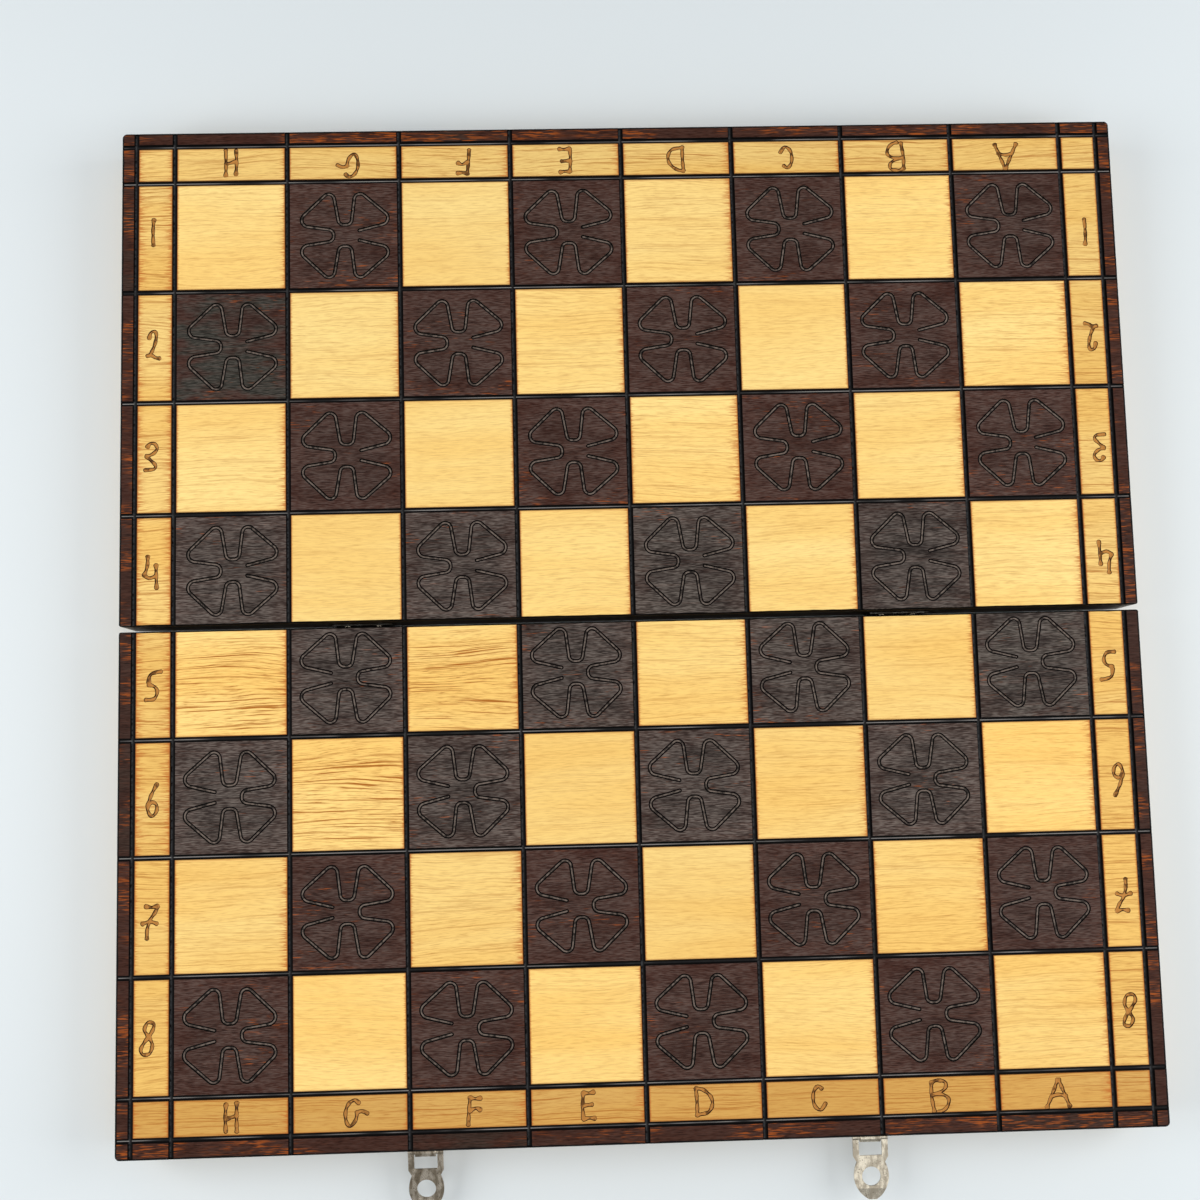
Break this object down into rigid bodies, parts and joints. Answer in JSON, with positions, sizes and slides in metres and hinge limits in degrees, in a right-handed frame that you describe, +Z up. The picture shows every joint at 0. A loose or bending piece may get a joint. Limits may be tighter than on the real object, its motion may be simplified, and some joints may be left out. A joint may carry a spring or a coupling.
{
  "type": "folding chess board",
  "caption": "Folding wooden chess board: two hinged boxes, open below, make the playing surface, and hasps hold it shut as a case for the pieces.",
  "frame": {"origin": "under the middle of the whole open board with its hasps, at the lowest point of the hinge knuckles", "axes": "+X to the right as seen by the player at the hasps, +Y away from that player, +Z up out of the playing surface"},
  "size_m": [0.447, 0.482, 0.0263],
  "materials": {
    "playing_panel": "varnished birch plywood, dark squares stained, grooves burned",
    "wall_wood": "varnished pale hardwood",
    "hasp_nickel": "worn nickel plate",
    "hinge_steel": "nickel plate",
    "fastener_steel": "bright steel"
  },
  "bodies": {
    "front_half": {"front_playing_panel": "playing_panel", "front_outer_wall": "wall_wood", "front_left_wall": "wall_wood", "front_right_wall": "wall_wood", "front_hinge_wall": "wall_wood", "left_hinge_front_leaf": "hinge_steel", "left_hinge_pin": "hinge_steel", "left_hinge_front_nails": "fastener_steel", "left_hasp_base": "hasp_nickel", "left_hasp_screws": "fastener_steel", "right_hinge_front_leaf": "hinge_steel", "right_hinge_pin": "hinge_steel", "right_hinge_front_nails": "fastener_steel", "right_hasp_base": "hasp_nickel", "right_hasp_screws": "fastener_steel"},
    "rear_half": {"rear_playing_panel": "playing_panel", "rear_outer_wall": "wall_wood", "rear_left_wall": "wall_wood", "rear_right_wall": "wall_wood", "rear_hinge_wall": "wall_wood", "left_hinge_rear_leaf": "hinge_steel", "left_hinge_rear_nails": "fastener_steel", "left_strike_plate": "hasp_nickel", "left_stud": "hasp_nickel", "left_strike_screws": "fastener_steel", "right_hinge_rear_leaf": "hinge_steel", "right_hinge_rear_nails": "fastener_steel", "right_strike_plate": "hasp_nickel", "right_stud": "hasp_nickel", "right_strike_screws": "fastener_steel"},
    "left_hasp": {"left_hasp": "hasp_nickel"},
    "right_hasp": {"right_hasp": "hasp_nickel"}
  },
  "joints": [
    {"name": "fold", "type": "hinge", "parent": "front_half", "child": "rear_half", "pos_m": [0, 0.01137, 0.0012], "axis": [-1, 0, 0], "range_deg": [0, 180]},
    {"name": "left_hasp_swing", "type": "hinge", "parent": "front_half", "child": "left_hasp", "pos_m": [-0.095, -0.21543, 0.0123], "axis": [1, 0, 0], "range_deg": [-96, 80]},
    {"name": "right_hasp_swing", "type": "hinge", "parent": "front_half", "child": "right_hasp", "pos_m": [0.097, -0.21543, 0.0123], "axis": [1, 0, 0], "range_deg": [-86, 90]}
  ]
}
